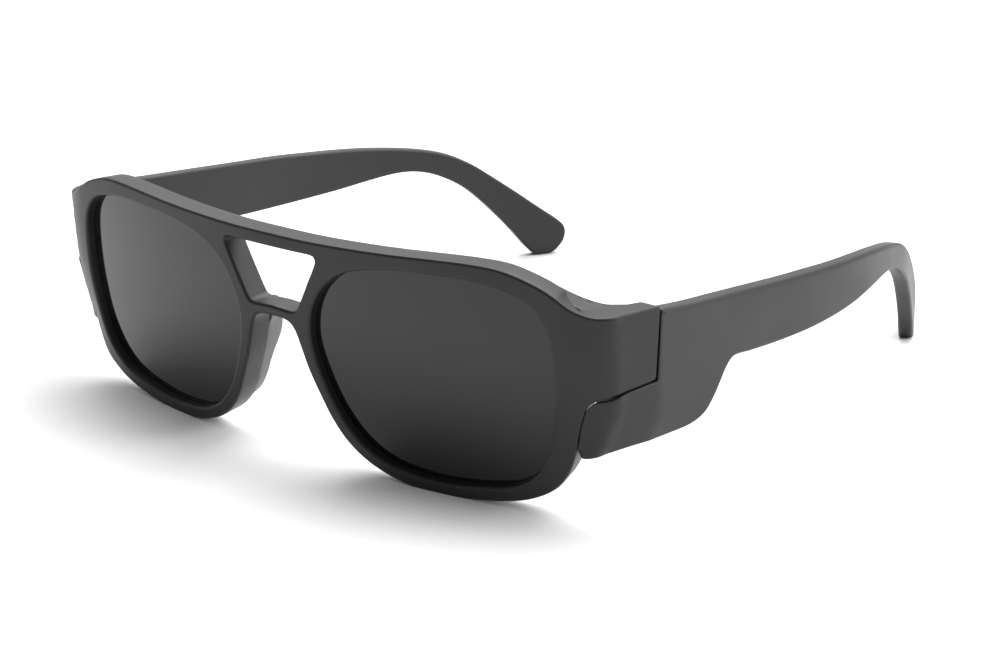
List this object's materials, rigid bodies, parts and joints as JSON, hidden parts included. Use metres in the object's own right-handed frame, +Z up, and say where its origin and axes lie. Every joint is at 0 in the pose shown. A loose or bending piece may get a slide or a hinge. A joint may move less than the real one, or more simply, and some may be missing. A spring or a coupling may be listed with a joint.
{
  "type": "safety glasses",
  "caption": "Double-bridge safety glasses with smoked set-back lenses, folding temples with moulded side shields, and curved ear hooks.",
  "frame": {"origin": "middle of the base of the open glasses, on the surface they rest on", "axes": "+Z up, +X towards the wearer's left, -Y the way the front faces, temples run towards +Y"},
  "size_m": [0.151, 0.1505, 0.0477],
  "materials": {
    "frame_plastic": "matte moulded black",
    "lens_smoke": "polished dark smoke tint",
    "pad_plastic": "soft matte dark grey",
    "steel": "plain stainless steel"
  },
  "bodies": {
    "front": {"front_frame": "frame_plastic", "right_lens": "lens_smoke", "left_lens": "lens_smoke", "right_nose_pad": "pad_plastic", "left_nose_pad": "pad_plastic", "right_front_hinge": "steel", "left_front_hinge": "steel", "right_hinge_screw": "steel", "left_hinge_screw": "steel", "right_front_rivets": "steel", "left_front_rivets": "steel"},
    "left_arm": {"left_temple": "frame_plastic", "left_temple_core": "steel", "left_temple_hinge": "steel", "left_temple_rivets": "steel"},
    "right_arm": {"right_temple": "frame_plastic", "right_temple_core": "steel", "right_temple_hinge": "steel", "right_temple_rivets": "steel"}
  },
  "joints": [
    {"name": "left_fold", "type": "hinge", "parent": "front", "child": "left_arm", "pos_m": [0.069, -0.0512, 0.0325], "axis": [0, 0, 1], "range_deg": [0, 83]},
    {"name": "right_fold", "type": "hinge", "parent": "front", "child": "right_arm", "pos_m": [-0.069, -0.0512, 0.0325], "axis": [0, 0, -1], "range_deg": [0, 76]}
  ]
}
